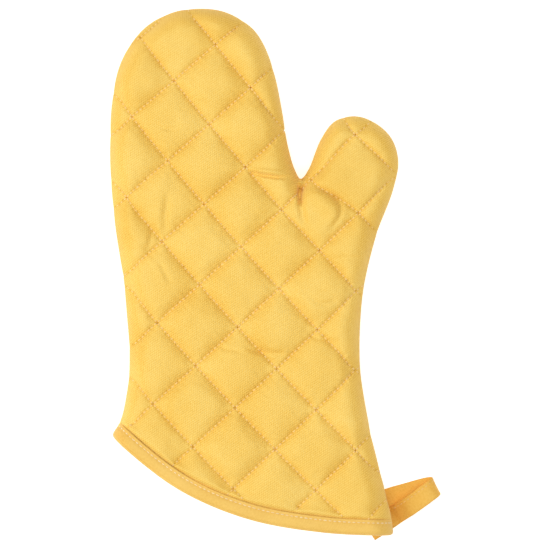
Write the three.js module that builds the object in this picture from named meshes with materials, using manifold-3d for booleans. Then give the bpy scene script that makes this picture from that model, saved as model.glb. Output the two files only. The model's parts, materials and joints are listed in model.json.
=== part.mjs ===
// A quilted oven mitt, lying on its back with the palm side up.
// Millimetres: +X towards the thumb, +Y towards the fingertips, +Z up.
import * as THREE from 'three';
import { mergeVertices } from 'three/addons/utils/BufferGeometryUtils.js';
import Module from 'manifold-3d';

const wasm = await Module();
wasm.setup();

// The sewn mitt, without its hanging loop.
const mittWidth = 180;
const mittLength = 330;
const mittThickness = 28;
const rimRadius = 14; // how far the side edge takes to reach full thickness
const rimFlat = 0.4; // height of the upright band at the side seam

// Cloth, wadding and thread.
const shellCloth = 0.7;
const liningCloth = 0.5;
const padding = 4.5;
const threadWidth = 0.8;
const threadThickness = 0.5;
const clearance = 0.3;

// The binding folded over the cuff's raw edge, and the row that holds it.
const bindingWidth = 10;
const bindingTape = 0.9;
const topstitchInset = 2;

// Diamond quilting: two families of straight rows.
const quiltPitch = 36;
const quiltAngles = [-48.4, 42.6];
const quiltCrossing = [-21.6, 18.3];

// The hanging loop, sewn under the cuff's thumb-side corner.
const loopWidth = 12;
const loopTape = 0.9;
const loopReach = 29;
const loopHeight = 10;
const loopAngle = 33;
const loopAboveCorner = 11;
const loopStandOff = 3.5; // from the side edge to the line the loop swings about
const tailLength = 20;
const tailSetback = 1.3;

// Where the mitt folds: both fold bands are square to each other.
const foldTurn = 20;
const thumbFoldLength = 20;
const thumbFoldPastCrotch = 4.3;
const fingerFoldLength = 34;
const fingerFoldPastThumb = 1.5;

// The paper pattern below is drafted at this size, and graded to the driving sizes.
const draftedWidth = 180;
const draftedLength = 330;

// How finely the curves are cut into flat facets.
const outlineSamples = 500;
const turnPerFacet = 12;
const longestFacet = 40;
const hemFacets = 14;
const rimFacets = 3;
const bendFacets = 6;
const weldDistance = 1e-4;

const halfThickness = mittThickness / 2;
const far = 2 * mittLength; // past the mitt on every side
const radians = THREE.MathUtils.degToRad;

// Depths under the outer surface, from shell to lining, on the open panel.
const quiltingDepth = shellCloth + clearance;
const paddingDepth = quiltingDepth + threadThickness + clearance;
const liningDepth = paddingDepth + padding + clearance;
const pocketDepth = liningDepth + liningCloth;

// The same under the binding, where everything is pressed together.
const topstitchDepth = bindingTape + clearance;
const pressedShellDepth = topstitchDepth + threadThickness + clearance;
const pressedPaddingDepth = pressedShellDepth + shellCloth + clearance;
const innerTapeDepth = pocketDepth - bindingTape;
const pressedLiningDepth = innerTapeDepth - clearance - liningCloth;
const pressedPadding = pressedLiningDepth - clearance - pressedPaddingDepth;

// Distances in from the cuff's edge.
const bindingClear = bindingWidth + clearance;
const foldedIn = bindingTape + clearance;

const gradeX = mittWidth / draftedWidth;
const gradeY = mittLength / draftedLength;
const graded = ([x, y]) => new THREE.Vector2(x * gradeX, y * gradeY);

const fingerSide = [
  [-117.5, -126.5], [-101.7, -99.5], [-96.4, -90.5], [-92.3, -71], [-91.1, -50], [-94.2, -8.5],
  [-100.5, 35.4], [-103, 66.7], [-101.7, 110.5], [-95.5, 135.5], [-82.3, 154.3], [-65, 164.3],
  [-47.9, 166.8], [-31, 164.5], [-14.1, 154.3], [-3.4, 135.5], [4.1, 104.2], [8.5, 79.2], [12.2, 66.4],
];
const crotch = [16, 60.4];
const thumbSide = [
  [21, 66.4], [29.1, 85.4], [37.5, 96.3], [48.5, 99.5], [60.5, 96.6], [72.9, 85.4], [77.3, 70],
  [74.2, 54.1], [64.8, 29.1], [57.9, 4.1], [53.5, -27.2], [53.5, -58.5], [59.2, -96.1],
  [68.5, -133.7], [73.6, -157], [76, -195],
];
const hemLine = [
  [-118, -84], [-101.7, -101.5], [-61, -133.7], [-17.8, -152.4], [28.5, -160.9], [71.6, -163.2],
  [98, -164],
];

function smooth(points, steps) {
  const line = points.map((point) => new THREE.Vector3(...graded(point), 0));
  const curve = new THREE.CatmullRomCurve3(line, false, 'centripetal');
  return curve.getSpacedPoints(steps).map(({ x, y }) => new THREE.Vector2(x, y));
}

// Keeps a point once the line has turned enough, or run far enough, since the last one.
function thinned(points, turn, run) {
  const kept = [points[0]];
  let heading = points[1].clone().sub(points[0]).angle();
  for (let i = 1; i < points.length - 1; i++) {
    const now = points[i + 1].clone().sub(points[i]).angle();
    const turned = Math.abs(Math.atan2(Math.sin(now - heading), Math.cos(now - heading)));
    if (turned > turn || points[i].distanceTo(kept.at(-1)) > run) {
      kept.push(points[i]);
      heading = now;
    }
  }
  kept.push(points.at(-1));
  return kept;
}

const sideEdges = smooth([...fingerSide, crotch, ...thumbSide], outlineSamples);
const outline = thinned(sideEdges, radians(turnPerFacet), longestFacet);
const hem = smooth(hemLine, hemFacets);

// A closed solid from a three.js geometry.
function solid(geometry) {
  geometry.deleteAttribute('normal');
  geometry.deleteAttribute('uv');
  const { attributes, index } = mergeVertices(geometry, weldDistance);
  return new wasm.Manifold(new wasm.Mesh({
    numProp: 3,
    vertProperties: attributes.position.array,
    triVerts: new Uint32Array(index.array),
  }));
}

// The mitt's whole form with a skin of the given depth taken off.
function lens(depth) {
  const geometry = new THREE.ExtrudeGeometry(new THREE.Shape(outline), {
    depth: rimFlat,
    bevelThickness: (mittThickness - rimFlat) / 2 - depth,
    bevelSize: rimRadius - depth,
    bevelOffset: -rimRadius,
    bevelSegments: rimFacets,
  });
  geometry.translate(0, 0, halfThickness - rimFlat / 2);
  return solid(geometry);
}

const skin = (outer, inner) => lens(outer).subtract(lens(inner));

// Everything further in from the cuff's edge than the given distance.
function pastHem(distance) {
  const edge = hem.map((point, i) => {
    const before = hem[Math.max(i - 1, 0)];
    const after = hem[Math.min(i + 1, hem.length - 1)];
    const heading = after.clone().sub(before).normalize();
    return new THREE.Vector2(point.x - heading.y * distance, point.y + heading.x * distance);
  });
  const corners = [new THREE.Vector2(far, edge.at(-1).y), new THREE.Vector2(far, far)];
  corners.push(new THREE.Vector2(-far, far), new THREE.Vector2(-far, edge[0].y));
  const shape = new THREE.Shape([...edge, ...corners]);
  return solid(new THREE.ExtrudeGeometry(shape, { depth: mittThickness, bevelEnabled: false }));
}

const hemBand = (from, to) => pastHem(from).subtract(pastHem(to));

// A box from one height to another, wide enough to cut the whole mitt.
function level(low, high) {
  const geometry = new THREE.BoxGeometry(far, far, high - low);
  geometry.translate(0, 0, (low + high) / 2);
  return solid(geometry);
}

// A layer of a quilted panel: open panel, upright step at the binding, pressed band inside it.
function steppedLayer(open, pressed, wall) {
  const start = bindingClear + shellCloth - wall;
  const step = [Math.min(open[0], pressed[0]), Math.max(open[1], pressed[1])];
  return skin(...open).intersect(pastHem(start))
    .add(skin(...step).intersect(hemBand(start, start + wall)))
    .add(skin(...pressed).intersect(hemBand(foldedIn, start + wall)));
}

function shellLayer() {
  const pressed = [pressedShellDepth, pressedShellDepth + shellCloth];
  return steppedLayer([0, shellCloth], pressed, shellCloth);
}

function liningLayer() {
  const pressed = [pressedLiningDepth, pressedLiningDepth + liningCloth];
  return steppedLayer([liningDepth, pocketDepth], pressed, liningCloth);
}

const panelStart = bindingClear + shellCloth + clearance;

function paddingLayer() {
  const open = skin(paddingDepth, paddingDepth + padding).intersect(pastHem(panelStart));
  const pressed = skin(pressedPaddingDepth, pressedPaddingDepth + pressedPadding);
  return open.add(pressed.intersect(hemBand(foldedIn, panelStart + pressedPadding)));
}

// Rows of thread crossing in diamonds, just under the shell.
function quiltingLayer() {
  const middle = graded(quiltCrossing);
  const rows = Math.ceil(far / 2 / quiltPitch);
  const walls = [];
  for (const angle of quiltAngles) {
    for (let row = -rows; row <= rows; row++) {
      const wall = new THREE.BoxGeometry(far, threadWidth, mittThickness);
      wall.translate(0, row * quiltPitch, halfThickness);
      wall.rotateZ(radians(angle));
      wall.translate(middle.x, middle.y, 0);
      walls.push(solid(wall));
    }
  }
  const rowsOfThread = walls.reduce((net, wall) => net.add(wall));
  const depth = skin(quiltingDepth, quiltingDepth + threadThickness);
  return depth.intersect(rowsOfThread).intersect(pastHem(panelStart));
}

// The seam that joins the two panels, one strand between the two waddings.
function sideSeam() {
  const strand = skin(paddingDepth + clearance, paddingDepth + clearance + threadWidth);
  const half = threadThickness / 2;
  const midway = level(halfThickness - half, halfThickness + half);
  return strand.intersect(midway).intersect(pastHem(panelStart));
}

// Tape folded round the cuff's edge: outer wall, edge and inner wall in one ring.
function cuffBinding() {
  const band = hemBand(0, bindingWidth);
  return skin(0, bindingTape).intersect(band)
    .add(skin(innerTapeDepth, pocketDepth).intersect(band))
    .add(skin(0, pocketDepth).intersect(hemBand(0, bindingTape)));
}

function cuffTopstitch() {
  const row = bindingWidth - topstitchInset;
  return skin(topstitchDepth, topstitchDepth + threadThickness)
    .intersect(hemBand(row - threadWidth, row));
}

// The fold bands are square to each other, so each region is a rectangle turned by foldTurn.
const across = new THREE.Vector2(1, 0).rotateAround(new THREE.Vector2(), radians(foldTurn));
const along = new THREE.Vector2(-across.y, across.x);
const thumbEdge = outline.filter(({ x }) => x > graded(crotch).x);
const thumbTip = Math.max(...thumbEdge.map((point) => point.dot(along)));
const thumbFold = graded(crotch).dot(across) + thumbFoldPastCrotch;
const fingerFold = thumbTip + fingerFoldPastThumb;

const regions = {
  palm: [-far, thumbFold, -far, fingerFold],
  thumb_fold: [thumbFold, thumbFold + thumbFoldLength, -far, fingerFold],
  thumb: [thumbFold + thumbFoldLength, far, -far, fingerFold],
  finger_fold: [-far, far, fingerFold, fingerFold + fingerFoldLength],
  fingers: [-far, far, fingerFold + fingerFoldLength, far],
};

function regionBox([left, right, low, high]) {
  const width = right - left - clearance;
  const geometry = new THREE.BoxGeometry(width, high - low - clearance, mittThickness);
  geometry.translate((left + right) / 2, (low + high) / 2, halfThickness);
  geometry.rotateZ(radians(foldTurn));
  return solid(geometry);
}

// The line the loop swings about, just outside the side edge above the cuff's corner.
const sideEdge = outline.filter(({ x, y }) => x > 0 && y < 0);
const anchorY = graded(hemLine.at(-2)).y + loopAboveCorner;
const above = sideEdge.findLast(({ y }) => y > anchorY);
const below = sideEdge.find(({ y }) => y <= anchorY);
const anchor = above.clone().lerp(below, (above.y - anchorY) / (above.y - below.y));

function placeAtLoop(geometry) {
  geometry.rotateZ(radians(loopAngle));
  geometry.translate(anchor.x + loopStandOff * Math.cos(radians(loopAngle)), anchor.y, 0);
  geometry.translate(0, loopStandOff * Math.sin(radians(loopAngle)), 0);
  return solid(geometry);
}

// One edge of the folded tape seen from its side: a straight lower leg, a round far end and an
// upper leg that comes down to meet the lower one.
function loopEdge(path, start, inset, low) {
  const round = loopHeight / 2;
  path.moveTo(start, inset);
  path.lineTo(loopReach - round, inset);
  path.absarc(loopReach - round, round, round - inset, -Math.PI / 2, Math.PI / 2, false);
  path.lineTo(loopHeight, loopHeight - inset);
  path.quadraticCurveTo(loopHeight / 2, loopHeight - inset, start, low);
  return path;
}

function hangingLoop() {
  const profile = loopEdge(new THREE.Shape(), 0, 0, 2 * loopTape + clearance);
  profile.holes.push(loopEdge(new THREE.Path(), loopHeight / 3, loopTape, 2 * loopTape));
  const geometry = new THREE.ExtrudeGeometry(profile, {
    depth: loopWidth,
    bevelEnabled: false,
    curveSegments: bendFacets,
  });
  geometry.rotateX(Math.PI / 2);
  geometry.translate(0, loopWidth / 2, 0);
  return placeAtLoop(geometry);
}

// The loop's ends run on under the corner and show again past the cuff's edge.
function loopTail(margin) {
  const height = loopTape + margin;
  const length = tailLength - tailSetback + 2 * margin;
  const geometry = new THREE.BoxGeometry(length, loopWidth + 2 * margin, height);
  geometry.translate(-(tailLength + tailSetback) / 2, 0, height / 2);
  return placeAtLoop(geometry);
}

const cloth = (color, roughness) => new THREE.MeshStandardMaterial({ color, roughness, metalness: 0 });
const materials = {
  shell: cloth(0xf6cb66, 0.85),
  quilting: cloth(0xf7dcaa, 0.7),
  padding: cloth(0xf4f1e8, 0.95),
  lining: cloth(0xf0e6cc, 0.9),
  binding: cloth(0xf2c766, 0.85),
};

const mitt = new THREE.Group();

function addPiece(name, body, material) {
  const { vertProperties, triVerts } = body.getMesh();
  const geometry = new THREE.BufferGeometry();
  geometry.setAttribute('position', new THREE.BufferAttribute(vertProperties, 3));
  geometry.setIndex(new THREE.BufferAttribute(triVerts, 1));
  geometry.computeVertexNormals();
  const mesh = new THREE.Mesh(geometry, material);
  mesh.name = name;
  mitt.add(mesh);
}

const largest = (body) => body.decompose().reduce((a, b) => (a.volume() > b.volume() ? a : b));
const press = loopTail(clearance); // room that the tail presses into the back
const seamGap = clearance / 2;
const strandGap = threadThickness / 2 + clearance;

const layers = {
  shell: { body: shellLayer(), gap: seamGap },
  quilting: { body: quiltingLayer(), gap: seamGap },
  padding: { body: paddingLayer(), gap: strandGap },
  lining: { body: liningLayer(), gap: seamGap },
};
const seam = sideSeam();

for (const [region, edges] of Object.entries(regions)) {
  const box = regionBox(edges);
  for (const [layer, { body, gap }] of Object.entries(layers)) {
    const here = body.intersect(box);
    const front = here.intersect(level(halfThickness + gap, far));
    const back = here.intersect(level(-far, halfThickness - gap)).subtract(press);
    addPiece(`front_${layer}_${region}`, largest(front), materials[layer]);
    addPiece(`back_${layer}_${region}`, largest(back), materials[layer]);
  }
  // The strand runs down each edge of a region, so a region may hold several lengths of it.
  seam.intersect(box).decompose().forEach((length, i) => {
    addPiece(`side_seam_${region}_${i + 1}`, length, materials.quilting);
  });
}

addPiece('cuff_binding', cuffBinding().subtract(press), materials.binding);
addPiece('cuff_topstitch', cuffTopstitch(), materials.quilting);
addPiece('hanging_loop', hangingLoop(), materials.binding);
addPiece('loop_tail', loopTail(0), materials.binding);

// The origin is the middle of the whole mitt's footprint, on the surface it lies on.
const size = new THREE.Box3().setFromObject(mitt);
const centre = size.getCenter(new THREE.Vector3());
mitt.position.set(-centre.x, -centre.y, -size.min.z);

export default mitt;
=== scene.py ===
import json
import math
import bpy
import numpy as np
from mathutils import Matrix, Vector
from mathutils.geometry import delaunay_2d_cdt
from mathutils.kdtree import KDTree


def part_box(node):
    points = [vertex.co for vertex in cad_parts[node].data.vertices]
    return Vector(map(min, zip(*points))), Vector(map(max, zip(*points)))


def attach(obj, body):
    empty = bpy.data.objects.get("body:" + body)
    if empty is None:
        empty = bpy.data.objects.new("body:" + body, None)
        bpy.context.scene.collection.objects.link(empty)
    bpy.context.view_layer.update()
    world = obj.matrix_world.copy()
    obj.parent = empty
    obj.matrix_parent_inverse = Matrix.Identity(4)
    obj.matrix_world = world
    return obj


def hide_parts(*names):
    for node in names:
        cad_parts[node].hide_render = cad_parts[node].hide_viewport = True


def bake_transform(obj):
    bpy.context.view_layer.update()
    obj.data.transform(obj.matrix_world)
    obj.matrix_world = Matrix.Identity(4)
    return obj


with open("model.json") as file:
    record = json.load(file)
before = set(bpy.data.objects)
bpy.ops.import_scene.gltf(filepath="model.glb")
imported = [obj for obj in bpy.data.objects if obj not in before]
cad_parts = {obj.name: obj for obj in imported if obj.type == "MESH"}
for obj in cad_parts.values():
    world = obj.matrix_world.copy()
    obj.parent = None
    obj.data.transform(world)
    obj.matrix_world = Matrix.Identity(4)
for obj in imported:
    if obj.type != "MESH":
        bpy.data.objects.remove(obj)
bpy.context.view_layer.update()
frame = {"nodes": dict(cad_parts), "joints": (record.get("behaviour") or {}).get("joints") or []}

mm = 0.001
scene = bpy.context.scene

# The paper pattern, in millimetres. It is graded to the frame below.
pattern = {
    "fingerSide": [
        (-117.5, -126.5), (-101.7, -99.5), (-96.4, -90.5), (-92.3, -71), (-91.1, -50), (-94.2, -8.5),
        (-100.5, 35.4), (-103, 66.7), (-101.7, 110.5), (-95.5, 135.5), (-82.3, 154.3), (-65, 164.3),
        (-47.9, 166.8), (-31, 164.5), (-14.1, 154.3), (-3.4, 135.5), (4.1, 104.2), (8.5, 79.2), (12.2, 66.4),
    ],
    "crotch": (16, 60.4),
    "thumbSide": [
        (21, 66.4), (29.1, 85.4), (37.5, 96.3), (48.5, 99.5), (60.5, 96.6), (72.9, 85.4), (77.3, 70),
        (74.2, 54.1), (64.8, 29.1), (57.9, 4.1), (53.5, -27.2), (53.5, -58.5), (59.2, -96.1),
        (68.5, -133.7), (73.6, -157), (76, -195),
    ],
    "hem": [
        (-118, -84), (-101.7, -101.5), (-61, -133.7), (-17.8, -152.4), (28.5, -160.9), (71.6, -163.2),
        (98, -164),
    ],
    "spacing": 1.3,
}

# The quilting: rows i run up to the right, rows j up to the left, and both bow a little.
quilting = {
    "crossing": (-21.07, 17.63),
    "stepI": (23.4, -26.4),
    "stepJ": (25.8, 23.6),
    "bowI": (0.20, 0.22),
    "bowIJ": (-0.27, 0.32),
    "bowJ": (-0.22, -0.04),
    "rows": 9,
    "stitches": 12,
    "thumbPulls": [((30.7, 64.2), (-8.0, -4.4), 21), ((54.5, 87.8), (-3.6, 0.4), 19)],
}

panel = {
    "rim": 14.0,
    "thickness": 6.3,
    "finePerCell": 44,
    "coarsePerCell": 14,
    "rings": [0.0, 0.07, 0.25, 0.55, 0.95, 1.5, 2.15, 2.9, 3.8],
    "puff": 1.2,
    "groove": 2.1,
    "shoulder": 3.2,
    "seamTuck": 0.8,
    "underBinding": 1.6,
    "splitRow": -1,
}


def smoothLine(points, spacing):
    p = np.array(points, float)
    p = np.vstack([2 * p[0] - p[1], p, 2 * p[-1] - p[-2]])
    t = np.linspace(0, 1, 40, endpoint=False)[:, None]
    runs = []
    for a, b, c, d in zip(p, p[1:], p[2:], p[3:]):
        ab, bc, cd = (np.linalg.norm(q) ** 0.5 for q in (b - a, c - b, d - c))
        leave = ((b - a) / ab - (c - a) / (ab + bc) + (c - b) / bc) * bc
        arrive = ((c - b) / bc - (d - b) / (bc + cd) + (d - c) / cd) * bc
        runs.append(
            b * (1 - 3 * t**2 + 2 * t**3) + c * (3 * t**2 - 2 * t**3)
            + leave * (t - 2 * t**2 + t**3) + arrive * (t**3 - t**2)
        )
    return respaced(np.vstack([*runs, p[-2:-1]]), spacing)


def lengthAlong(line):
    return np.r_[0, np.cumsum(np.linalg.norm(np.diff(line, axis=0), axis=1))]


def respaced(line, spacing):
    run = lengthAlong(line)
    even = np.linspace(0, run[-1], max(2, round(run[-1] / spacing) + 1))
    return np.stack([np.interp(even, run, line[:, k]) for k in range(line.shape[1])], axis=1)


# For each point: how far left of a line it lies, the way there, and how far along.
def offLine(line, points):
    points = np.asarray(points, float)
    tree = KDTree(len(line))
    for k, (x, y) in enumerate(line):
        tree.insert((x, y, 0), k)
    tree.balance()
    nearest = np.array([tree.find((x, y, 0))[1] for x, y in points])
    step = np.diff(line, axis=0)
    length, run = np.linalg.norm(step, axis=1), lengthAlong(line)
    best = None
    for k in (np.maximum(nearest - 1, 0), np.minimum(nearest, len(step) - 1)):
        rel = points - line[k]
        t = np.clip((rel * step[k]).sum(1) / length[k] ** 2, 0, 1)
        out = rel - t[:, None] * step[k]
        near = np.linalg.norm(out, axis=1)
        left = np.stack([-step[k, 1], step[k, 0]], 1) / length[k, None]
        sign = np.where((out * left).sum(1) < 0, -1.0, 1.0)
        unit = np.where(near[:, None] > 0.05, out / np.maximum(near, 1e-9)[:, None] * sign[:, None], left)
        found = np.c_[near, near * sign, unit, run[k] + t * length[k]]
        best = found if best is None else np.where((found[:, :1] < best[:, :1] - 1e-9), found, best)
    return best[:, 1], best[:, 2:4], best[:, 4]


def smoothStep(low, high, value):
    t = np.clip((value - low) / (high - low), 0, 1)
    return t * t * (3 - 2 * t)


# The pattern's own extent is laid on the frame's.
rawOutline = smoothLine([*pattern["fingerSide"], pattern["crotch"], *pattern["thumbSide"]], 1.0)
rawHem = smoothLine(pattern["hem"], 1.0)
rawOutline = rawOutline[::-1]  # the mitt lies on the left of both lines
insideHem = rawOutline[offLine(rawHem, rawOutline)[0] >= 0]
insideSides = rawHem[offLine(rawOutline, rawHem)[0] >= 0]
patternLow = np.minimum(insideHem.min(0), insideSides.min(0))
patternHigh = np.maximum(insideHem.max(0), insideSides.max(0))
mittNodes = [n for n in frame["nodes"] if n not in ("hanging_loop", "loop_tail")]
mittBoxes = np.array([[list(c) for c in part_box(n)] for n in mittNodes]) / mm
mittLow, mittHigh = mittBoxes[:, 0].min(0), mittBoxes[:, 1].max(0)
grade = (mittHigh - mittLow)[:2] / (patternHigh - patternLow)
middle = (mittLow[2] + mittHigh[2]) / 2
halfThickness = (mittHigh[2] - mittLow[2]) / 2


def graded(points):
    return (np.array(points, float) - patternLow) * grade + mittLow[:2]


sides = graded(rawOutline)
hem = graded(rawHem)
print("grade", grade.round(4), "middle", middle.round(2), "half thickness", halfThickness.round(2))


def quiltPoint(i, j):
    i, j = np.asarray(i, float)[..., None], np.asarray(j, float)[..., None]
    q = {k: np.array(quilting[k]) for k in ("crossing", "stepI", "stepJ", "bowI", "bowIJ", "bowJ")}
    at = (
        q["crossing"] + i * q["stepI"] + j * q["stepJ"]
        + i * i * q["bowI"] + i * j * q["bowIJ"] + j * j * q["bowJ"]
    )
    pulls = [
        np.array(pull) * np.exp(-((at - place) ** 2).sum(-1, keepdims=True) / reach**2)
        for place, pull, reach in quilting["thumbPulls"]
    ]
    return graded(at + sum(pulls))


# The rows that a point lies between, by Newton steps from the straight rows.
def quiltRows(points):
    points = np.asarray(points, float)
    ij = np.zeros_like(points)
    e = 1e-3
    for _ in range(6):
        at = quiltPoint(ij[:, 0], ij[:, 1])
        di = (quiltPoint(ij[:, 0] + e, ij[:, 1]) - at) / e
        dj = (quiltPoint(ij[:, 0], ij[:, 1] + e) - at) / e
        gap = points - at
        det = di[:, 0] * dj[:, 1] - di[:, 1] * dj[:, 0]
        ij[:, 0] += (gap[:, 0] * dj[:, 1] - gap[:, 1] * dj[:, 0]) / det
        ij[:, 1] += (di[:, 0] * gap[:, 1] - di[:, 1] * gap[:, 0]) / det
    return ij


# Where two lines cross: the step of each, and the point, in order along the first.
def crossings(a, b):
    r, t = np.diff(a, axis=0)[:, None], np.diff(b, axis=0)[None]
    w = b[None, :-1] - a[:-1, None]
    det = r[..., 0] * t[..., 1] - r[..., 1] * t[..., 0]
    det = np.where(np.abs(det) < 1e-12, np.inf, det)
    along = (w[..., 0] * t[..., 1] - w[..., 1] * t[..., 0]) / det
    across = (w[..., 0] * r[..., 1] - w[..., 1] * r[..., 0]) / det
    hit = (along >= 0) & (along < 1) & (across >= 0) & (across < 1)
    return [(k, m, a[k] + along[k, m] * (a[k + 1] - a[k])) for k, m in np.argwhere(hit)]


# The closed loop that lies at these distances in from the sides and from the hem, counter-clockwise.
def loopInside(sideInset, hemInset):
    sideLine = insetLine(sides, sideInset)
    hemLine = insetLine(hem, hemInset)
    cuts = crossings(sideLine, hemLine)
    low, high = cuts[0], cuts[-1]
    up = respaced(np.vstack([low[2], sideLine[low[0] + 1:high[0] + 1], high[2]]), pattern["spacing"])
    across = respaced(np.vstack([high[2], hemLine[high[1] + 1:low[1] + 1], low[2]]), pattern["spacing"])
    return up, across


def insetLine(line, inset):
    if inset == 0:
        return line
    step = np.gradient(line, axis=0)
    left = np.stack([-step[:, 1], step[:, 0]], 1) / np.linalg.norm(step, axis=1)[:, None]
    moved = line + left * inset
    return moved[np.abs(offLine(line, moved)[0] - inset) < 0.03]


def insideLoop(loop, points):
    inside = np.zeros(len(points), bool)
    x, y = points.T
    for (ax, ay), (bx, by) in zip(loop, np.roll(loop, -1, axis=0)):
        if ay != by:
            inside ^= ((ay > y) != (by > y)) & (x < (bx - ax) * (y - ay) / (by - ay) + ax)
    return inside


# A smooth random height over the plane, from -1 to 1.
def unevenness(x, y, seed):
    table = np.random.default_rng(seed).uniform(-1, 1, (97, 89))
    i, j = np.floor(x).astype(int), np.floor(y).astype(int)
    u, v = x - i, y - j
    u, v = u * u * u * (u * (u * 6 - 15) + 10), v * v * v * (v * (v * 6 - 15) + 10)
    a, b = table[i % 97, j % 89], table[(i + 1) % 97, j % 89]
    c, d = table[i % 97, (j + 1) % 89], table[(i + 1) % 97, (j + 1) % 89]
    return (a * (1 - u) + b * u) * (1 - v) + (c * (1 - u) + d * u) * v


# All that the layers' heights follow at some flat points.
def placesOf(points):
    points = np.asarray(points, float)
    s, inward, along = offLine(sides, points)
    d = offLine(hem, points)[0]
    ij = quiltRows(points)
    near = np.abs(ij - np.round(ij))
    return {"xy": points, "s": np.maximum(s, 0), "inward": inward, "along": along, "d": d, "ij": ij,
            "u": near[:, 0] * cellPitch[0], "v": near[:, 1] * cellPitch[1]}


stepI, stepJ = (np.array(quilting[k]) for k in ("stepI", "stepJ"))
cellArea = abs(stepI[0] * stepJ[1] - stepI[1] * stepJ[0])
cellPitch = cellArea / np.linalg.norm(stepJ), cellArea / np.linalg.norm(stepI)

wrinkles = {
    "crotch": {"line": [(16, 60), (15.8, 53), (15.8, 46), (17.2, 38), (19, 30)], "depth": 2.0, "width": 2.4},
    "besideCrotch": {"line": [(-15, 64), (-8, 62.4), (0, 61.2), (9, 60.8)], "depth": 2.1, "width": 1.1},
    "besideCrotchRidge": {"line": [(-16, 66.2), (-8, 65), (1, 64), (8, 62.8)], "depth": -0.9, "width": 1.5},
    "thumbLobe": {"line": [(24, 53), (33, 44), (36, 38), (30, 28)], "depth": -1.8, "width": 5.5},
    "lobeSide": {"line": [(26, 55), (36, 50), (41, 43), (40, 36), (33, 27)], "depth": 1.3, "width": 1.7},
    "thumbRoot": {"line": [(37, 10.5), (45, 10.8), (53, 10)], "depth": 0.6, "width": 1.8},
    "palmSide": {"line": [(-67, 49), (-68.4, 37), (-69, 25)], "depth": 1.3, "width": 2.6},
    "palmSideLow": {"line": [(-76.7, 31), (-77.9, 22), (-80.4, 15)], "depth": 0.9, "width": 1.7},
    "palmSideMiddle": {"line": [(-71.7, 8), (-68, 0), (-65, -6)], "depth": 0.7, "width": 1.8},
    "fingerSide": {"line": [(-74, 93), (-66, 91), (-58, 92.5)], "depth": 0.6, "width": 1.6},
    "palmLow": {"line": [(-35.4, -44), (-28, -46.5), (-20, -47.5)], "depth": 0.6, "width": 1.6},
    "cuffMiddle": {"line": [(-16.6, -46), (-5, -48.5), (6.6, -49)], "depth": 1.1, "width": 1.8},
    "cuffRight": {"line": [(22, -38), (32, -41), (40, -42)], "depth": 0.6, "width": 1.6},
    "palmArc": {"line": [(21, -13), (28, -17.5), (35, -17), (38, -13)], "depth": 0.7, "width": 1.8},
}
crotchFold = {"line": [(16, 66), (15.8, 58), (15.6, 51), (15.9, 43)], "depth": 6.5, "width": 1.0}


# The unevenness of the quilted face: heights and reaches in millimetres.
surface = {
    "cellVariation": 0.35,
    "pucker": 0.34, "puckerRun": 2.4, "puckerAcross": 7, "puckerFade": 4.2,
    "rowDent": 0.15, "holeDent": 0.45, "dentReach": 0.9,
    "openFrom": 0.5, "openBy": 8,
    "broad": 0.55, "broadReach": 19, "fine": 0.22, "fineReach": 7,
}


# How far a quilted face stands out from the plain one, in millimetres.
def quiltRelief(p, seed, front):
    half = (cellPitch[0] + cellPitch[1]) / 4
    u, v = p["u"], p["v"]
    rise = np.prod([1 - np.clip(1 - off / half, 0, 1) ** panel["shoulder"] for off in (u, v)], axis=0)
    cell = np.floor(p["ij"])
    own = unevenness(cell[:, 0] * 1.7 + 0.3, cell[:, 1] * 2.3 + 0.4, seed + 7)
    puff = panel["puff"] * (1 + surface["cellVariation"] * own)
    relief = -panel["groove"] + (panel["groove"] + puff) * rise
    # fine puckers run off the rows, and the cloth lies a little uneven
    ip, jp = p["ij"][:, 0] * cellPitch[0], p["ij"][:, 1] * cellPitch[1]
    for off, run, key in ((u, jp, 1), (v, ip, 2)):
        pucker = unevenness(run / surface["puckerRun"], off / surface["puckerAcross"] + 11 * key, seed + key)
        relief = relief + surface["pucker"] * pucker * np.exp(-off / surface["puckerFade"])
        phase = p["ij"][:, 2 - key] * quilting["stitches"]
        hole = 0.5 + 0.5 * np.cos(2 * math.pi * phase)
        dent = surface["rowDent"] + surface["holeDent"] * hole**2
        relief = relief - dent * np.exp(-((off / surface["dentReach"]) ** 2))
    x, y = p["xy"].T
    broad = unevenness(x / surface["broadReach"] + 3, y / surface["broadReach"] + 5, seed + 3)
    fine = unevenness(x / surface["fineReach"], y / surface["fineReach"], seed + 4)
    between = smoothStep(surface["openFrom"], surface["openBy"], np.minimum(u, v))
    relief = relief + between * (surface["broad"] * broad + surface["fine"] * fine)
    if front:
        for wrinkle in wrinkles.values():
            relief = relief - foldDepth(p, wrinkle)
    return relief


def foldDepth(p, fold):
    line = smoothLine(graded(fold["line"]), 1.0)
    off, _, run = offLine(line, p["xy"])
    fade = np.sin(np.pi * np.clip(run / lengthAlong(line)[-1] * 0.9 + 0.1, 0, 1)) ** 0.7
    return fold["depth"] * fade * np.exp(-((off / fold["width"]) ** 2))


# How relief fades out at the rim, and how the tucked seam swells beside it.
rimRelief = {
    "least": 0.1, "from": 0.25, "full": 0.97, "tuckHeight": 1.3,
    "swell": 0.45, "swellAt": 3.6, "swellHeight": 2.2,
}


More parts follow.
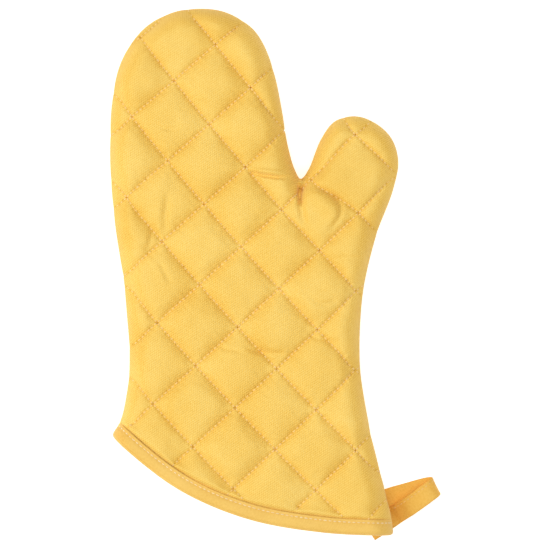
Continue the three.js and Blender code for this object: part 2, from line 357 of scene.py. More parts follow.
# Heights above the middle plane, and the pull outwards, of a layer at some depth.
def layerAt(p, depth, relief, tuck=0.0):
    rim, high = panel["rim"] - depth, halfThickness - depth
    c = np.clip(1 - (p["s"] - np.minimum(depth, p["s"])) / rim, 0, 1)
    sine = np.sqrt(1 - c * c)
    height = high * sine
    at = rimRelief
    fade = at["least"] + (1 - at["least"]) * smoothStep(at["from"], at["full"], sine)
    tucked = tuck * np.exp(-((height / at["tuckHeight"]) ** 2))
    swollen = at["swell"] * tuck * np.exp(-(((height - at["swellAt"]) / at["swellHeight"]) ** 2))
    out = relief * fade - tucked + swollen
    xy = p["xy"] - p["inward"] * (c * out)[:, None]
    return xy, np.maximum(height + sine * out, 0)


# ---- the flat meshes that the layers are laid on
cellSide = 35.0
alongRow = np.arange(-quilting["rows"], quilting["rows"], 0.01)
splitLine = quiltPoint(np.full(len(alongRow), panel["splitRow"]), alongRow)


# The outline of a layer, and the splitting row cut to it, with points where the rings will be.
def layerEdge(sideInset, hemInset, rings, perCell):
    up, across = loopInside(sideInset, hemInset)
    ends = [cut[2] for cut in crossings(up, splitLine)]
    for end in ends:
        up[np.linalg.norm(up - end, axis=1).argmin()] = end
    loop = np.vstack([up, across[1:-1]])
    split = splitLine[(offLine(sides, splitLine)[0] > sideInset) & insideLoop(loop, splitLine)]
    s, run = offLine(sides, split)[0] - sideInset, lengthAlong(split)
    half, fine = s.argmax(), cellSide / perCell
    left = [np.interp(r, s[:half + 1], run[:half + 1]) for r in rings[1:]]
    right = [np.interp(-r, -s[half:], run[half:]) for r in rings[:0:-1]]
    between = np.linspace(left[-1], right[0], round((right[0] - left[-1]) / fine) + 1)[1:-1]
    wanted = np.r_[left, between, right]
    split = np.stack([np.interp(wanted, run, split[:, k]) for k in (0, 1)], 1)
    at = sorted(
        (int(np.linalg.norm(loop - end, axis=1).argmin()) for end in ends),
        key=lambda k: np.linalg.norm(loop[k] - split[0]),
    )
    chain = [at[0], *range(len(loop), len(loop) + len(split)), at[1]]
    return {
        "up": up, "loop": loop, "split": split, "chain": chain,
        "sideInset": sideInset, "hemInset": hemInset, "gap": 0.4 * fine,
    }


# Flat triangles inside that outline: rings along the rim, then a net whose lines are the quilting rows.
def flatMesh(edge, rings, perCell):
    up, loop, spacing = edge["up"], edge["loop"], cellSide / perCell
    step = np.gradient(up, axis=0)
    left = np.stack([-step[:, 1], step[:, 0]], 1) / np.linalg.norm(step, axis=1)[:, None]
    inner = []
    for r in rings[1:]:
        ring = up + left * r
        true = offLine(sides, ring)[0] - edge["sideInset"]
        room = offLine(hem, ring)[0] > edge["hemInset"] + 0.5
        inner.append(ring[(np.abs(true - r) < 0.02 + 0.02 * r) & room])
    n = quilting["rows"] * perCell
    net = np.stack(np.meshgrid(np.arange(-n, n), np.arange(-n, n), indexing="ij"), -1).reshape(-1, 2)
    net = net[net[:, 0] != panel["splitRow"] * perCell] / perCell
    net = quiltPoint(net[:, 0], net[:, 1])
    net = net[insideLoop(loop, net)]
    far = offLine(sides, net)[0] - edge["sideInset"] > rings[-1] + 0.55 * spacing
    inner.append(net[far & (offLine(hem, net)[0] > edge["hemInset"] + 0.6 * spacing)])
    inner = np.vstack(inner)
    inner = inner[np.abs(offLine(splitLine, inner)[0]) > edge["gap"]]
    points = np.vstack([loop, edge["split"], inner])
    edges = [(k, (k + 1) % len(loop)) for k in range(len(loop))] + list(zip(edge["chain"], edge["chain"][1:]))
    made = delaunay_2d_cdt([Vector(p) for p in points], edges, [], 1, 1e-6)
    flat, faces = np.array([tuple(v) for v in made[0]]), np.array(made[2])
    name = [o[0] if o else -1 for o in made[3]]
    a, b, c = (flat[faces[:, k]] for k in range(3))
    turned = np.cross(b - a, c - a) < 0
    faces[turned] = faces[turned][:, ::-1]
    shared = np.full(len(loop) + len(edge["split"]), -1)
    for k, n in enumerate(name):
        if 0 <= n < len(shared):
            shared[n] = k
    palmSide = quiltRows(flat[faces].mean(1))[:, 0] > panel["splitRow"]
    return {
        "faces": faces, "palmSide": palmSide, "shared": shared,
        "sideCount": len(up), "places": placesOf(flat),
    }


# ---- turning layers into pieces
def newObject(name, points, faces, materials=(), normals=None, **maps):
    mesh = bpy.data.meshes.new(name)
    mesh.from_pydata((np.asarray(points) * mm).tolist(), [], [list(map(int, f)) for f in faces])
    for material in materials:
        mesh.materials.append(material)
    mesh.shade_smooth()
    corners = np.zeros(len(mesh.loops), np.int32)
    mesh.loops.foreach_get("vertex_index", corners)
    for label, places in maps.items():
        flat = np.asarray(places, np.float32)[corners]
        mesh.uv_layers.new(name=label).data.foreach_set("uv", flat.ravel())
    mesh.update()
    if normals is not None:
        mesh.normals_split_custom_set_from_vertices(np.asarray(normals).tolist())
    made = bpy.data.objects.new(name, mesh)
    scene.collection.objects.link(made)
    return made


def vertexNormals(points, faces):
    a, b, c = (points[faces[:, k]] for k in range(3))
    flat, total = np.cross(b - a, c - a), np.zeros_like(points)
    for k in range(3):
        np.add.at(total, faces[:, k], flat)
    return total / np.maximum(np.linalg.norm(total, axis=1), 1e-12)[:, None]


# Cloth coordinates: the flat place, unrolled over the rim.
def unrolled(p):
    c = np.clip(1 - p["s"] / panel["rim"], 0, 1)
    return p["xy"] - p["inward"] * (panel["rim"] * (np.arcsin(c) - c))[:, None]


# Each directed edge of some triangles. One whose reverse is missing is on the border.
def edgesOf(faces):
    return {tuple(e) for e in np.concatenate([faces[:, [0, 1]], faces[:, [1, 2]], faces[:, [2, 0]]]).tolist()}


# A closed layer between two skins, parted at the splitting row.
def closedLayer(name, outer, outerXyz, inner, innerXyz, back, materials):
    flip = np.array([1, 1, -1.0 if back else 1.0])
    points = np.vstack([outerXyz, innerXyz]) * flip + [0, 0, middle]
    place = np.arange(len(innerXyz)) + len(outerXyz)
    sideways = slice(0, outer["sideCount"])
    place[inner["shared"][sideways]] = outer["shared"][sideways]  # the two skins meet at the side seam
    partner = dict(zip(outer["shared"].tolist(), place[inner["shared"]].tolist()))
    cloth = np.vstack([unrolled(outer["places"]), unrolled(inner["places"])]) * mm
    rows = np.vstack([outer["places"]["ij"], inner["places"]["ij"]])
    lower = place[inner["faces"]][:, ::-1]
    turned = slice(None, None, -1 if back else 1)
    whole = np.vstack([outer["faces"], lower])[:, turned]
    normals = vertexNormals(points, whole)
    made = []
    for half, suffix in ((True, "palm"), (False, "fingers")):
        top = outer["faces"][outer["palmSide"] == half]
        known = edgesOf(top)
        wall = []
        for a, b in sorted(known):
            if (b, a) not in known:
                c, d = partner[a], partner[b]
                wall += [q for q in ((b, a, c), (b, c, d)) if len(set(q)) == 3]
        faces = np.vstack([top, lower[inner["palmSide"] == half], np.array(wall)])[:, turned]
        used, faces = np.unique(faces, return_inverse=True)
        faces = faces.reshape(-1, 3)
        made.append(newObject(
            f"{name}_{suffix}", points[used], faces, materials, normals[used],
            cloth=cloth[used], rows=rows[used],
        ))
    return made


# ---- materials
class Socket:
    def __init__(self, tree, link):
        self.tree, self.link = tree, link

    def maths(self, operation, other=None, swap=False):
        node = self.tree.nodes.new("ShaderNodeMath")
        node.operation = operation
        pair = [self, other] if not swap else [other, self]
        for k, value in enumerate(v for v in pair if v is not None):
            if isinstance(value, Socket):
                self.tree.links.new(value.link, node.inputs[k])
            else:
                node.inputs[k].default_value = value
        return Socket(self.tree, node.outputs[0])

    def __add__(self, other):
        return self.maths("ADD", other)

    def __sub__(self, other):
        return self.maths("SUBTRACT", other)

    def __rsub__(self, other):
        return self.maths("SUBTRACT", other, True)

    def __mul__(self, other):
        return self.maths("MULTIPLY", other)

    def __pow__(self, other):
        return self.maths("POWER", other)


class Finish:
    def __init__(self, name, sheen):
        self.material = bpy.data.materials.new(name)
        self.material.use_nodes = True
        self.tree = self.material.node_tree
        self.shader = self.tree.nodes["Principled BSDF"]
        self.shader.inputs["Sheen Weight"].default_value = sheen
        self.shader.inputs["Specular IOR Level"].default_value = 0.25

    # Any node: its type, its settings, and the values or links of its sockets.
    def node(self, kind, settings=(), output=0, **sockets):
        node = self.tree.nodes.new(kind)
        for key, value in dict(settings).items():
            if key == "stops":
                ramp = node.color_ramp
                while len(ramp.elements) < len(value):
                    ramp.elements.new(0.5)
                for element, (place, color) in zip(ramp.elements, value):
                    element.position, element.color = place, (*color, 1)
            else:
                setattr(node, key, value)
        for key, value in sockets.items():
            socket = node.inputs[int(key[1:])] if key[0] == "_" else node.inputs[key.replace("_", " ")]
            if isinstance(value, Socket):
                self.tree.links.new(value.link, socket)
            else:
                socket.default_value = value
        return Socket(self.tree, node.outputs[output])

    def parts(self, vector, only=None):
        split = self.node("ShaderNodeSeparateXYZ", Vector=vector)
        axes = [Socket(self.tree, axis) for axis in split.link.node.outputs]
        return axes[:2] if only is None else axes[only]

    def noise(self, vector, scale, detail=2.0):
        return self.node("ShaderNodeTexNoise", Vector=vector, Scale=scale, Detail=detail)

    def mix(self, factor, a, b):
        return self.node("ShaderNodeMix", {"data_type": "RGBA"}, 2, _0=factor, _6=a, _7=b)

    def give(self, **sockets):
        for key, value in sockets.items():
            socket = self.shader.inputs[key.replace("_", " ")]
            if isinstance(value, Socket):
                self.tree.links.new(value.link, socket)
            else:
                socket.default_value = value

    def bump(self, height, distance, strength):
        return self.node("ShaderNodeBump", Height=height, Distance=distance, Strength=strength)


# A 0 to 255 colour for the shaders.
def linear(r, g, b):
    parts = [c / 255 / 12.92 if c < 10 else ((c / 255 + 0.055) / 1.055) ** 2.4 for c in (r, g, b)]
    return (*parts, 1)


# Ramp colours of each cloth. Painted shade on sloping faces and in stitch holes pulls the tone down to 'dark'
# and 'deep'; random dye variation spans 'dark' to 'light'.
cloths = {
    "shell": {
        "deep": (200, 142, 34), "dark": (234, 183, 70), "color": (246, 203, 98), "light": (255, 222, 128),
        "pitch": 1.25, "turn": 58, "depth": 0.00024, "contrast": 0.34,
    },
    "binding": {
        "deep": (200, 140, 44), "dark": (228, 176, 76), "color": (242, 197, 100), "light": (252, 210, 118),
        "pitch": 0.75, "turn": 45, "depth": 0.0001, "contrast": 0.25,
    },
    # the binding's tape again with darker, more orange colours: painted shade for the hanging loop
    "loop": {
        "deep": (190, 122, 30), "dark": (226, 160, 52), "color": (244, 190, 84), "light": (252, 206, 108),
        "pitch": 0.75, "turn": 45, "depth": 0.0001, "contrast": 0.3,
    },
    "lining": {
        "deep": (190, 176, 148), "dark": (214, 202, 176), "color": (232, 222, 200), "light": (244, 236, 218),
        "pitch": 0.9, "turn": 0, "depth": 0.00014, "contrast": 0.35,
    },
}


# Woven cloth: fine ribs along one direction, crossed by the weft, with slubs and uneven dye. Painted shade
# darkens sloping faces and the quilting's needle holes and rows.
def wovenCloth(name, look, twill, quilted=False):
    finish = Finish(name, 0.2)
    flat = finish.node("ShaderNodeUVMap", {"uv_map": "cloth"})
    axes = finish.node("ShaderNodeMapping", Vector=flat, Rotation=(0, 0, math.radians(look["turn"])))
    across, along = finish.parts(axes)
    wander = finish.noise(flat, 220.0) - 0.5
    turn = 2 * math.pi / (look["pitch"] * mm)
    ribs = (across * turn + wander * 2.0).maths("SINE") * 0.5 + 0.5
    lean = across * (turn * 0.5 if twill else 0.0)
    weft = (along * (turn * (0.9 if twill else 1.0)) + lean + wander).maths("SINE") * 0.5 + 0.5
    weave = ribs * (0.6 if twill else 0.5) + weft * (0.4 if twill else 0.5)
    slubs = finish.noise(axes, 800.0, 3.0)
    patches = finish.noise(flat, 28.0, 3.0)
    # painted shade: the more a face slopes away from upright, the darker and more orange its colour
    upright = finish.parts(finish.node("ShaderNodeTexCoord", {}, 1), 2)
    slope = (1.0 - upright.maths("ABSOLUTE")).maths("MINIMUM", 0.1)
    tone = weave * look["contrast"] + slubs * 0.4 + patches * 0.45
    tone = tone + (0.12 - look["contrast"] / 2) - slope * 1.3
    height = weave * 0.7 + slubs * 0.5
    if quilted:
        i, j = finish.parts(finish.node("ShaderNodeUVMap", {"uv_map": "rows"}))
        tight = finish.noise(flat, 260.0) * 1.6 - 0.3
        for off, run in ((i, j), (j, i)):
            away = (off + 100.5).maths("FRACT") - 0.5
            near = (away * away * -(cellPitch[0] / 0.75) ** 2).maths("EXPONENT")
            hole = ((run * (2 * math.pi * quilting["stitches"])).maths("COSINE") * 0.5 + 0.5) ** 2.0
            # painted shade in each needle hole and along the row's line; the same holes also dent the bump
            tone = tone - near * (hole * tight * 0.26 + 0.05)
            height = height - near * hole * tight
    stops = zip((0.0, 0.25, 0.5, 0.8), ("deep", "dark", "color", "light"))
    stops = [(at, linear(*look[key])[:3]) for at, key in stops]
    color = finish.node("ShaderNodeValToRGB", {"stops": stops}, Fac=tone)
    finish.give(Base_Color=color, Roughness=0.9 - weave * 0.1, Normal=finish.bump(height, look["depth"], 0.8))
    finish.shader.inputs["Sheen Roughness"].default_value = 0.5
    return finish.material


def threadFinish(name, color, dark):
    finish = Finish(name, 0.2)
    place = finish.node("ShaderNodeTexCoord", {}, 3)
    fibre = finish.noise(place, 2500.0, 3.0)
    tone = finish.mix(fibre, linear(*dark), linear(*color))
    finish.give(Base_Color=tone, Roughness=0.75 - fibre * 0.15, Normal=finish.bump(fibre, 0.0001, 0.6))
    return finish.material


shellCloth = wovenCloth("golden_twill", cloths["shell"], True, quilted=True)
bindingCloth = wovenCloth("golden_tape", cloths["binding"], False)
# the loop's tape: painted shade, as a darker copy of the binding tape's colours
shadedLoopCloth = wovenCloth("golden_tape_painted_shade", cloths["loop"], False)
liningCloth = wovenCloth("natural_lining", cloths["lining"], False)
quiltThread = threadFinish("quilting_thread", (253, 220, 152), (240, 192, 118))
topThread = threadFinish("topstitch_thread", (255, 236, 190), (244, 208, 140))
print("materials")


# ---- stitches: a bead of thread for each, along lines laid on the cloth
stitching = {"pitch": 3.0, "length": 2.1, "width": 0.8, "height": 0.6, "sink": 0.02}
sewnArea = {"inFromSide": 1.0, "inFromHem": 10.6, "slopeStep": 0.3}


def stitchTree(name):
    tree = bpy.data.node_groups.new(name, "GeometryNodeTree")
    face = tree.interface
    face.new_socket("Rows", in_out="INPUT", socket_type="NodeSocketGeometry")
    for label in ("Length", "Width", "Height"):
        face.new_socket(label, in_out="INPUT", socket_type="NodeSocketFloat")
    face.new_socket("Thread", in_out="INPUT", socket_type="NodeSocketMaterial")
    face.new_socket("Stitches", in_out="OUTPUT", socket_type="NodeSocketGeometry")
    new, link = tree.nodes.new, tree.links.new
    given, result = new("NodeGroupInput"), new("NodeGroupOutput")
    line = new("GeometryNodeMeshToCurve")
    normal, tangent = new("GeometryNodeInputNamedAttribute"), new("GeometryNodeInputTangent")
    normal.data_type = "FLOAT_VECTOR"
    normal.inputs["Name"].default_value = "faceUp"
    lie, upright = new("FunctionNodeAlignRotationToVector"), new("FunctionNodeAlignRotationToVector")
    lie.axis, upright.axis, upright.pivot_axis = "X", "Z", "X"
    bead, size = new("GeometryNodeMeshUVSphere"), new("ShaderNodeCombineXYZ")
    shaped = new("GeometryNodeTransform")
    bead.inputs["Segments"].default_value, bead.inputs["Rings"].default_value = 8, 6
    bead.inputs["Radius"].default_value = 0.5
    vary, place = new("FunctionNodeRandomValue"), new("GeometryNodeInstanceOnPoints")
    vary.data_type = "FLOAT_VECTOR"
    vary.inputs[0].default_value, vary.inputs[1].default_value = (0.8, 0.75, 0.75), (1.1, 1.2, 1.2)
    vary.inputs["Seed"].default_value = 4
    real, paint = new("GeometryNodeRealizeInstances"), new("GeometryNodeSetMaterial")
    smooth = new("GeometryNodeSetShadeSmooth")
    link(given.outputs["Rows"], line.inputs["Mesh"])
    for k, label in enumerate(("Length", "Width", "Height")):
        link(given.outputs[label], size.inputs[k])
    link(bead.outputs["Mesh"], shaped.inputs["Geometry"])
    link(size.outputs[0], shaped.inputs["Scale"])
    link(tangent.outputs[0], lie.inputs["Vector"])
    link(lie.outputs[0], upright.inputs["Rotation"])
    link(normal.outputs["Attribute"], upright.inputs["Vector"])
    link(line.outputs["Curve"], place.inputs["Points"])
    link(shaped.outputs["Geometry"], place.inputs["Instance"])
    link(upright.outputs[0], place.inputs["Rotation"])
    link(vary.outputs[0], place.inputs["Scale"])
    link(place.outputs["Instances"], real.inputs["Geometry"])
    link(real.outputs["Geometry"], smooth.inputs["Geometry"])
    link(smooth.outputs["Geometry"], paint.inputs["Geometry"])
    link(given.outputs["Thread"], paint.inputs["Material"])
    link(paint.outputs["Geometry"], result.inputs["Stitches"])
    return tree


stitchMaker = stitchTree("sewn_row")


# Lines and their normals, in millimetres, become one mesh of stitches.
def sewRows(name, rows, thread, size=stitching):
    points, edges, ups = [], [], []
    for line, up in rows:
        edges += [(len(points) + k, len(points) + k + 1) for k in range(len(line) - 1)]
        points += (np.asarray(line) * mm).tolist()
        ups += np.asarray(up).tolist()
    mesh = bpy.data.meshes.new(name + "_rows")
    mesh.from_pydata(points, edges, [])
    mesh.attributes.new("faceUp", "FLOAT_VECTOR", "POINT").data.foreach_set("vector", np.ravel(ups))
    guide = bpy.data.objects.new(name + "_rows", mesh)
    scene.collection.objects.link(guide)
    modifier = guide.modifiers.new("sewn", "NODES")
    modifier.node_group = stitchMaker
    sockets = stitchMaker.interface.items_tree
    names = {item.name: item.identifier for item in sockets if item.in_out == "INPUT"}
    for label in ("Length", "Width", "Height"):
        modifier[names[label]] = size[label.lower()] * mm
    modifier[names["Thread"]] = thread
    bpy.context.view_layer.update()
    sewn = bpy.data.meshes.new_from_object(guide.evaluated_get(bpy.context.evaluated_depsgraph_get()))
    bpy.data.objects.remove(guide)
    sewn.name = name
    if not sewn.materials:
        sewn.materials.append(thread)
    made = bpy.data.objects.new(name, sewn)
    scene.collection.objects.link(made)
    return made


# The quilting rows that run over a skin: the middle of each stitch, and the cloth's normal there.
def quiltingRows(skin, back, half):
    rows, e = [], sewnArea["slopeStep"]
    flip = np.array([1, 1, -1.0 if back else 1.0])
    most = quilting["rows"] * quilting["stitches"]
    middles = (np.arange(-most, most) + 0.5) / quilting["stitches"]
    for row in range(-quilting["rows"], quilting["rows"] + 1):
        fixed = np.full(len(middles), float(row))
        for flat in (quiltPoint(fixed, middles), quiltPoint(middles, fixed)):
            p = placesOf(flat)
            fingers = p["ij"][:, 0] < panel["splitRow"] - 1e-4
            keep = (offLine(sides, flat)[0] > sewnArea["inFromSide"]) & (p["d"] > sewnArea["inFromHem"])
            keep &= fingers if half == "fingers" else ~fingers
            for run in np.split(np.arange(len(flat)), np.flatnonzero(np.diff(keep.astype(int))) + 1):
                if keep[run[0]] and len(run) > 2:
                    at, dx, dy = (skin(placesOf(flat[run] + off)) for off in ((0, 0), (e, 0), (0, e)))
                    up = np.cross(dx - at, dy - at)
                    up /= np.linalg.norm(up, axis=1)[:, None]
                    if back:  # the thread does not reach below what the mitt lies on
                        at[:, 2] = np.minimum(at[:, 2], halfThickness - stitching["height"] * 0.75)
                    rows.append(((at + up * stitching["sink"]) * flip + [0, 0, middle], up * flip))
    return rows


# Distances in from the hem: the layers are pressed flat under the binding and swell up again beside it.
besideBinding = {
    "pressedTo": 9.4, "liningTo": 10.2, "ease": 2.4, "quiltFrom": 9.6, "quiltBy": 15.5,
    "swell": 0.5, "swellAt": 12.6, "swellReach": 1.6, "heldSoftly": 0.16,
}


def pressed(p, full, under):
    return full * (1 - smoothStep(under, under + besideBinding["ease"], p["d"]))


# The shell's outside. The back's swell is held to flat, because the mitt lies on it.
def outerSkin(p, seed, back):
    by = besideBinding
    relief = quiltRelief(p, seed, not back)
    relief = relief * smoothStep(by["quiltFrom"], by["quiltBy"], p["d"])
    relief = relief - pressed(p, panel["underBinding"], by["pressedTo"])
    relief = relief + by["swell"] * np.exp(-(((p["d"] - by["swellAt"]) / by["swellReach"]) ** 2))
    if back:
        relief = 0.5 * (relief - np.sqrt(relief**2 + by["heldSoftly"])) - loopPress(p)
    xy, height = layerAt(p, 0.0, relief, panel["seamTuck"])
    if not back:
        height = height - np.minimum(foldDepth(p, crotchFold), 0.75 * height)
    return np.column_stack([xy, height])


def innerSkin(p, depth, relief, tuck):
    xy, height = layerAt(p, depth, relief)
    xy = xy + p["inward"] * (tuck * (1 - smoothStep(0, 6, p["s"])))[:, None]
    return np.column_stack([xy, height])


def liningRelief(p):
    half = (cellPitch[0] + cellPitch[1]) / 4
    rise = np.prod([1 - np.clip(1 - off / half, 0, 1) ** 3 for off in (p["u"], p["v"])], axis=0)
    return -(1.5 * rise - 0.2) * smoothStep(11, 18, p["d"]) * smoothStep(7, 16, p["s"])


# Room in the back for the loop's ends, which run under the corner.
loopRoom = {"depth": 1.3, "from": (-24, -19), "side": -2.5, "halfWidth": (8, 12)}


def loopPress(p):
    along, across = loopWay(p["xy"])
    beside = smoothStep(*loopRoom["halfWidth"], np.abs(across - loopRoom["side"]))
    return loopRoom["depth"] * (smoothStep(*loopRoom["from"], along) * (1 - beside))


# ---- the hanging loop's own directions: along its reach, and across it towards the fingers
joints = {joint["name"]: joint for joint in frame["joints"]}
hinge = np.array(joints["loop_swing"]["pos_m"][:2]) / mm
acrossLoop = -np.array(joints["loop_swing"]["axis"][:2])
alongLoop = np.array([acrossLoop[1], -acrossLoop[0]])


def loopWay(points):
    return (points - hinge) @ alongLoop, (points - hinge) @ acrossLoop


lining = {"depth": 6.5, "cloth": 0.5, "pressedBy": 1.1, "rings": [0.0, 0.1, 0.35, 0.8, 1.5, 2.5, 3.8]}

panelEdge = layerEdge(0.0, 1.2, panel["rings"], panel["finePerCell"])
fineMesh = flatMesh(panelEdge, panel["rings"], panel["finePerCell"])
coarseMesh = flatMesh(panelEdge, [0.0, 1.5, 3.8], panel["coarsePerCell"])
liningEdge = layerEdge(lining["depth"], 1.4, lining["rings"], panel["coarsePerCell"])
liningMesh = flatMesh(liningEdge, lining["rings"], panel["coarsePerCell"])
print("flat meshes", len(fineMesh["faces"]), len(coarseMesh["faces"]), len(liningMesh["faces"]))

regions = {"palm": ("palm", "thumb_fold", "thumb"), "fingers": ("finger_fold", "fingers")}


# A piece's placement is baked into its mesh; nothing attaches it to the palm's or the fingers' body.
def bendWith(piece):
    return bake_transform(piece)


# The flat cut of a layer, from the pattern and not the finished mesh: its plan, and what the round side adds.
def flatCut(mesh, half, depth):
    xy, fromSide = mesh["places"]["xy"], mesh["places"]["s"]
    faces = mesh["faces"][mesh["palmSide"] == (half == "palm")]
    a, b, c = (xy[faces[:, k]] for k in range(3))
    plan = np.abs((b - a)[:, 0] * (c - a)[:, 1] - (b - a)[:, 1] * (c - a)[:, 0]).sum() / 2
    known = edgesOf(faces)
    edge = np.array([(p, q) for p, q in known if (q, p) not in known])
    edge = edge[(fromSide[edge] < depth + 0.05).all(1)]
    turned = sideTurn(depth)
    width, length = np.ptp(xy[faces.ravel()], axis=0) + [2 * turned, turned]
    area = plan + np.linalg.norm(xy[edge[:, 0]] - xy[edge[:, 1]], axis=1).sum() * turned
    return (float(width) * mm, float(length) * mm), float(area) * mm * mm


# How much longer a quarter round is than its reach in plan.
def sideTurn(depth):
    return (math.pi / 2 - 1) * (panel["rim"] - depth)


def makeSide(side):
    back = side == "back"
    seed = 20 if back else 5
    places = coarseMesh["places"]
    relief = liningRelief(places) + pressed(places, lining["pressedBy"], besideBinding["liningTo"])
    panels = closedLayer(
        f"{side}_panel", fineMesh, outerSkin(fineMesh["places"], seed, back),
        coarseMesh, innerSkin(places, panel["thickness"], relief, panel["seamTuck"]), back, [shellCloth],
    )
    places = liningMesh["places"]
    relief = liningRelief(places) + pressed(places, lining["pressedBy"], besideBinding["liningTo"])
    insides = closedLayer(
        f"{side}_inside", liningMesh, innerSkin(places, lining["depth"], relief, 0),
        liningMesh, innerSkin(places, lining["depth"] + lining["cloth"], relief, 0), back, [liningCloth],
    )
    for half, piece, inside in zip(regions, panels, insides):
        bendWith(piece)
        layers = ("shell", "padding")
        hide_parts(*[f"{side}_{layer}_{region}" for layer in layers for region in regions[half]])
        bendWith(inside)
        flat, area = flatCut(liningMesh, half, lining["depth"])
        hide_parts(*[f"{side}_lining_{region}" for region in regions[half]])
        rows = quiltingRows(lambda p: outerSkin(p, seed, back), back, half)
        sewn = sewRows(f"{side}_quilting_{half}_rows", rows, quiltThread)
        bendWith(sewn)
        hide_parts(*[f"{side}_quilting_{region}" for region in regions[half]])
        if not back:
            seams = [n for n in frame["nodes"] if n.startswith("side_seam_") and n[10:-2] in regions[half]]
            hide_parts(*seams)
    print(side, "side made")


makeSide("front")
makeSide("back")

# ---- the binding round the cuff
binding = {
    "cutWidth": 28.0,
    "across": 240,
    "wave": 0.35,
    "waveLength": 16,
    "topstitch": {"in": 8.0, "under": 0.18, "proud": 0.1},
    "profile": [
        (10.1, 0.75), (10.15, 0.35), (9.75, -0.05), (9.0, -0.1), (8.45, 0.1), (8.0, 0.3), (7.55, 0.1),
        (7.0, -0.15), (5.4, -0.3), (3.6, -0.3), (2.2, -0.15), (1.1, 0.35), (0.45, 1.1), (0.12, 2.2),
        (0.0, 3.6), (0.12, 5.0), (0.45, 6.1), (1.1, 6.8), (2.2, 7.1), (5.0, 7.15), (8.0, 6.95), (9.6, 7.1),
        (10.0, 6.75), (9.8, 6.3), (8.0, 6.2), (3.0, 6.2), (1.5, 5.6), (1.0, 4.4), (0.95, 2.6), (1.4, 1.3),
        (2.6, 0.85), (6.0, 0.8), (9.0, 0.85),
    ],
}


# A ring round the mouth at a distance in from the hem and a depth under the outside.
def mouthRing(inset, depth, count):
    line = respaced(insetLine(hem, max(inset, 0)), 0.5)
    s, run = offLine(sides, line)[0], lengthAlong(line)
    half = s.argmax()
    rim = max(depth, 0) + (panel["rim"] - max(depth, 0)) * (1 - np.cos(np.linspace(0, math.pi / 2, 28)))
    left = [np.interp(r, s[:half + 1], run[:half + 1]) for r in rim]
    right = [np.interp(-r, -s[half:], run[half:]) for r in rim[::-1]]
    wanted = np.r_[left, np.linspace(left[-1], right[0], 160)[1:-1], right]
    flat = np.stack([np.interp(wanted, run, line[:, k]) for k in (0, 1)], 1)
    p = placesOf(flat)
    x, y = (p["xy"] / binding["waveLength"]).T
    wave = binding["wave"] * unevenness(x, y + inset * 0.05, 31)
    xy, height = layerAt(p, depth, wave * smoothStep(3, 12, p["s"]))
    height[[0, -1]] = 0
    spacing = lengthAlong(np.column_stack([xy, height]))[-1] / count
    top = respaced(np.column_stack([xy, height]), spacing)
    low = respaced(np.column_stack([xy, -height]), spacing)[::-1]
    low[:, 2] = np.maximum(low[:, 2], -middle)
    ring = np.vstack([top, low[1:-1]])
    return ring + [0, 0, middle]


def ringMesh(name, rings, material):
    rows, count = len(rings), len(rings[0])
    faces = []
    for r in range(rows):
        a, b = r * count, (r + 1) % rows * count
        faces += [(a + k, a + (k + 1) % count, b + (k + 1) % count, b + k) for k in range(count)]
    made = newObject(name, np.vstack(rings), faces, [material])
    layer = made.data.uv_layers.new(name="cloth")
    widths = [np.linalg.norm(b - a, axis=1).mean() for a, b in zip(rings, rings[1:] + rings[:1])]
    down = np.r_[0, np.cumsum(widths)]
    along = [lengthAlong(ring) for ring in rings]
    along = [np.r_[run, run[-1] + np.linalg.norm(ring[0] - ring[-1])] for run, ring in zip(along, rings)]
    uvs = []
    for r in range(rows):
        for k in range(count):
            uvs += [(along[r][k], down[r]), (along[r][k + 1], down[r]),
                    (along[(r + 1) % rows][k + 1], down[r + 1]), (along[(r + 1) % rows][k], down[r + 1])]
    layer.data.foreach_set("uv", (np.array(uvs) * mm).astype(np.float32).ravel())
    return made


rings = [mouthRing(inset, depth, binding["across"]) for inset, depth in binding["profile"]]
tape = ringMesh("cuff_tape", rings, bindingCloth)
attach(tape, "palm")
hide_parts("cuff_binding")
hemRun = lengthAlong(hem[offLine(sides, hem)[0] >= 0])[-1]
tapeLength = 2 * (hemRun + 2 * sideTurn(0)) * mm
row = mouthRing(binding["topstitch"]["in"], binding["topstitch"]["under"], binding["across"])
row = respaced(np.vstack([row, row[:1]]), stitching["pitch"])
fringe = placesOf(row[:, :2])
height = (row[:, 2] - middle) / halfThickness
flatness = np.sqrt(np.clip(1 - height**2, 0, 1))
outwards = np.column_stack([-fringe["inward"] * flatness[:, None], height])
outwards /= np.linalg.norm(outwards, axis=1)[:, None]
topSize = dict(stitching, length=2.2, width=0.8, height=0.55)
row = row + outwards * binding["topstitch"]["proud"]
topRow = sewRows("cuff_topstitch_row", [(row, outwards)], topThread, topSize)
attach(topRow, "palm")
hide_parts("cuff_topstitch")
print("binding")

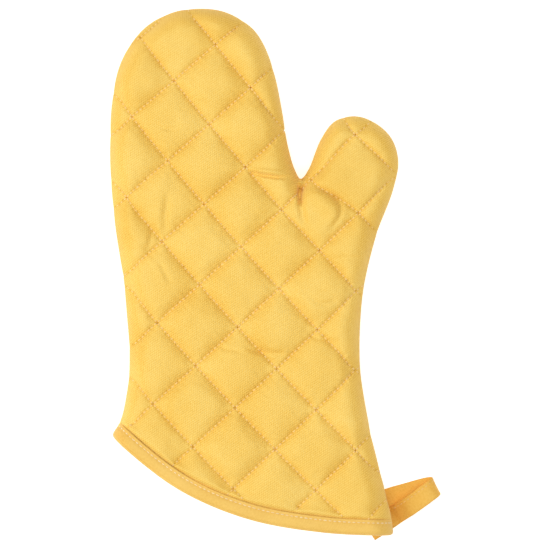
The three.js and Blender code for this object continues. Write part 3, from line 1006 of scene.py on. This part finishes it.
# ---- the hanging loop: one tape from its tail, out, over and back
loop = {
    "way": [  # along, across, height, turn of the tape's width in degrees
        (-18.8, -1.9, 0.5, 2), (-10, -1.9, 0.5, 2), (-3, -1.7, 0.7, 2), (1, -1.5, 1.8, 2),
        (5, -1.3, 5.0, 2), (10, -1.2, 8.2, 2), (18, -0.8, 9.9, 2), (25, -0.4, 10.2, 1),
        (29.9, -0.1, 8.6, -3), (31.9, 0.3, 5.4, -7), (30.2, 1.1, 2.1, -11), (25.0, 3.2, 0.8, -15),
        (15, 6.3, 0.6, -17), (4.2, 9.6, 0.6, -14), (-3, 10.8, 0.5, -8), (-10, 11.3, 0.5, -5),
    ],
    "section": [
        (-6.0, 0.0), (-5.8, 0.33), (-5.0, 0.45), (-2.5, 0.40), (0.5, 0.38), (3.2, 0.42), (3.8, 0.30),
        (4.2, 0.28), (4.7, 0.45), (5.6, 0.42), (6.0, 0.1), (5.9, -0.25), (5.2, -0.42), (2.5, -0.38),
        (-1.0, -0.36), (-4.5, -0.42), (-5.7, -0.35),
    ],
    "bend": (-3.0, 4.0),
    "spacing": 0.7,
    "lowest": 0.02,
    "stitches": {"side": 4.0, "proud": 0.36, "from": 3, "by": 0.8, "every": 4},
    "cut": (12.5, 100.0),  # 19 under the corner, 33 out, 5 round the end, 33 back, 10 sewn down
}


def smoothWay(points, spacing):
    p = np.array(points, float)
    p = np.vstack([2 * p[0] - p[1], p, 2 * p[-1] - p[-2]])
    t = np.linspace(0, 1, 20, endpoint=False)[:, None]
    runs = [
        0.5 * (
            (2 * b) + (c - a) * t + (2 * a - 5 * b + 4 * c - d) * t**2 + (3 * b - a - 3 * c + d) * t**3
        )
        for a, b, c, d in zip(p, p[1:], p[2:], p[3:])
    ]
    line = np.vstack([*runs, p[-2:-1]])
    run = lengthAlong(line[:, :3])
    even = np.linspace(0, run[-1], round(run[-1] / spacing) + 1)
    return np.stack([np.interp(even, run, line[:, k]) for k in range(4)], 1)


way = smoothWay(loop["way"], loop["spacing"])
centres = hinge + way[:, :1] * alongLoop + way[:, 1:2] * acrossLoop
centres = np.column_stack([centres, way[:, 2]])
turns = np.radians(way[:, 3])[:, None]
wide = np.column_stack([acrossLoop * np.cos(turns) - alongLoop * np.sin(turns), 0 * turns])
heading = np.gradient(centres, axis=0)
heading /= np.linalg.norm(heading, axis=1)[:, None]
wide -= (wide * heading).sum(1)[:, None] * heading
wide /= np.linalg.norm(wide, axis=1)[:, None]
upward = np.cross(heading, wide)
section = np.array(loop["section"])
strapPoints = np.vstack([
    c + section[:, :1] * w + section[:, 1:] * u for c, w, u in zip(centres, wide, upward)
])
strapPoints[:, 2] = np.maximum(strapPoints[:, 2], loop["lowest"])
count, steps = len(section), len(centres)
strapFaces = [
    (r * count + k, r * count + (k + 1) % count, (r + 1) * count + (k + 1) % count, (r + 1) * count + k)
    for r in range(steps - 1)
    for k in range(count)
]
strapFaces += [tuple(range(count))[::-1], tuple((steps - 1) * count + k for k in range(count))]
girth = lengthAlong(np.vstack([section, section[:1]]))
run = lengthAlong(centres)
strapCloth = np.column_stack([np.repeat(run, count), np.tile(girth[:-1], steps)]) * mm
strap = newObject("loop_strap", strapPoints, strapFaces, [shadedLoopCloth], cloth=strapCloth)
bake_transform(strap)
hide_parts("hanging_loop", "loop_tail")
sewn = loop["stitches"]
keep = (way[:, 0] > sewn["from"]) & (np.arange(steps) < steps * sewn["by"])
edgeLine = (centres + wide * sewn["side"] + upward * sewn["proud"])[keep][::sewn["every"]]
edgeSize = dict(stitching, width=0.5, height=0.3, length=1.8)
edgeUp = upward[keep][::sewn["every"]]
edgeRow = sewRows("loop_edge_stitches", [(edgeLine, edgeUp)], quiltThread, edgeSize)
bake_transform(edgeRow)
print("loop")

# ---- the floor, the light and the camera
view = {"field": 344.3, "lens": 300.0, "height": 16.0, "sensor": 36.0}
bpy.ops.mesh.primitive_plane_add(size=6)
floor = bpy.context.object
floor.name = "floor"
paper = Finish("pale_paper", 0.0)
paper.give(Base_Color=(0.8, 0.8, 0.8, 1), Roughness=0.9, Emission_Color=(1, 1, 1, 1), Emission_Strength=0.6)
floor.data.materials.append(paper.material)
floor.location.z = -0.0002


def softLight(name, place, size, energy):
    data = bpy.data.lights.new(name, "AREA")
    data.shape, data.size, data.energy = "DISK", size, energy
    light = bpy.data.objects.new(name, data)
    light.location = place
    light.rotation_euler = (-Vector(place)).to_track_quat("-Z", "Y").to_euler()
    scene.collection.objects.link(light)


softLight("window", (-1.5, -0.35, 1.0), 1.1, 12)
softLight("ceiling", (0.0, 0.1, 1.9), 2.0, 20)
world = bpy.data.worlds.new("studio")
world.use_nodes = True
world.node_tree.nodes["Background"].inputs["Color"].default_value = (1, 1, 1, 1)
world.node_tree.nodes["Background"].inputs["Strength"].default_value = 0.42
scene.world = world
scene.view_settings.view_transform = "Standard"

lens = bpy.data.cameras.new("camera")
lens.lens, lens.sensor_width = view["lens"], view["sensor"]
lens.clip_start, lens.clip_end = 0.05, 20
camera = bpy.data.objects.new("camera", lens)
centre = graded((0, 0)) * mm
camera.location = (*centre, view["field"] * mm * view["lens"] / view["sensor"] + view["height"] * mm)
scene.collection.objects.link(camera)
scene.camera = camera
